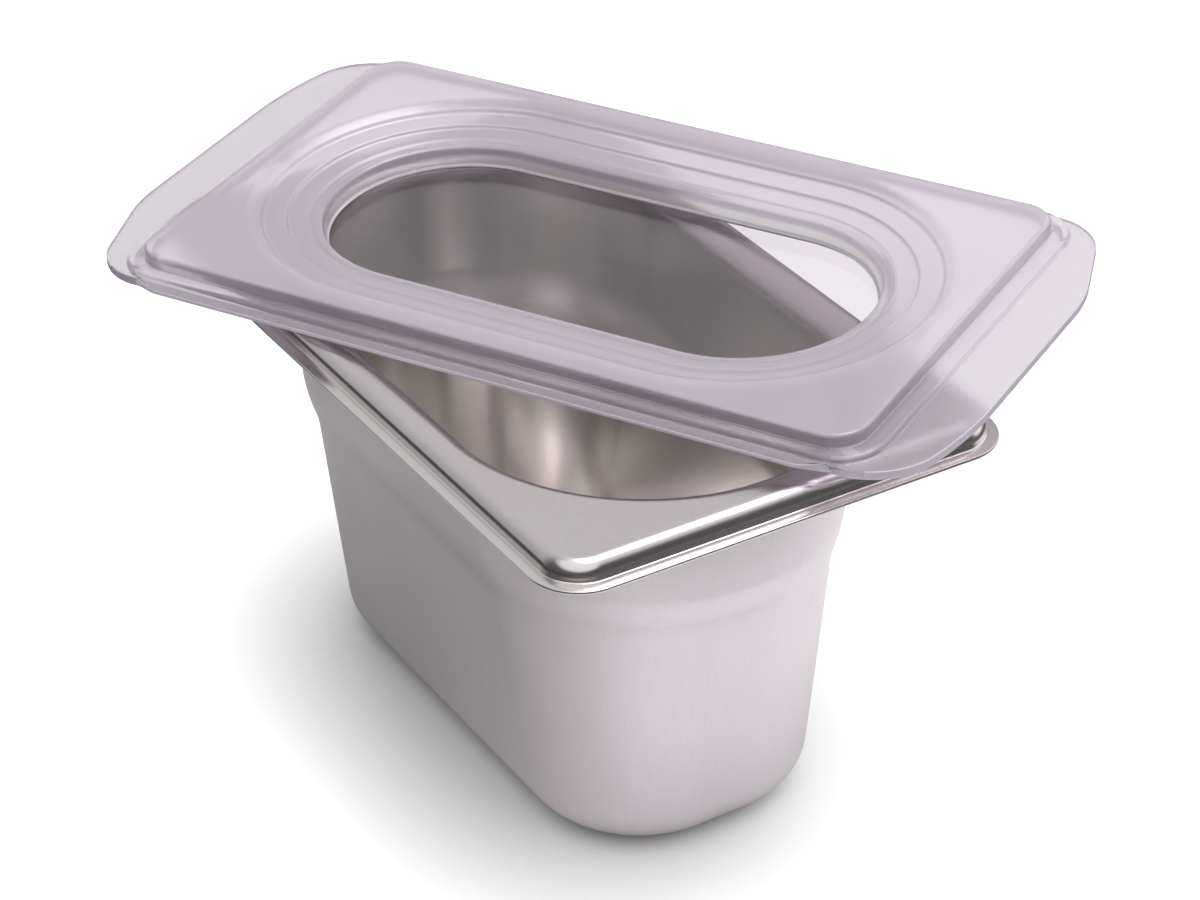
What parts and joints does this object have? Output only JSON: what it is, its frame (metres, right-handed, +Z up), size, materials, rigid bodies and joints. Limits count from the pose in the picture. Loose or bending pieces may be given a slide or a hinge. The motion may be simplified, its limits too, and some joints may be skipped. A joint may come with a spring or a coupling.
{
  "type": "ingredient pan with lid",
  "caption": "Small pressed steel food pan with a stepped rim, and a soft pull-wing lid with a clear window in its recessed middle, laid turned across the rim.",
  "frame": {"origin": "middle of the flat base of the pan", "axes": "+X along the pan's length, +Y across its width towards the side where the lid is raised, +Z up out of the pan's mouth"},
  "size_m": [0.2162, 0.1779, 0.1096],
  "materials": {
    "steel": "satin, with a polished rim",
    "silicone": "frosted translucent",
    "clear": "clear gloss"
  },
  "bodies": {
    "pan": {"pan": "steel"},
    "lid": {"lid_body": "silicone", "lid_window": "clear"}
  },
  "joints": [
    {"name": "lid_lift", "type": "slide", "parent": "pan", "child": "lid", "axis": [0, 0, 1], "range_m": [0, 0.12]}
  ]
}
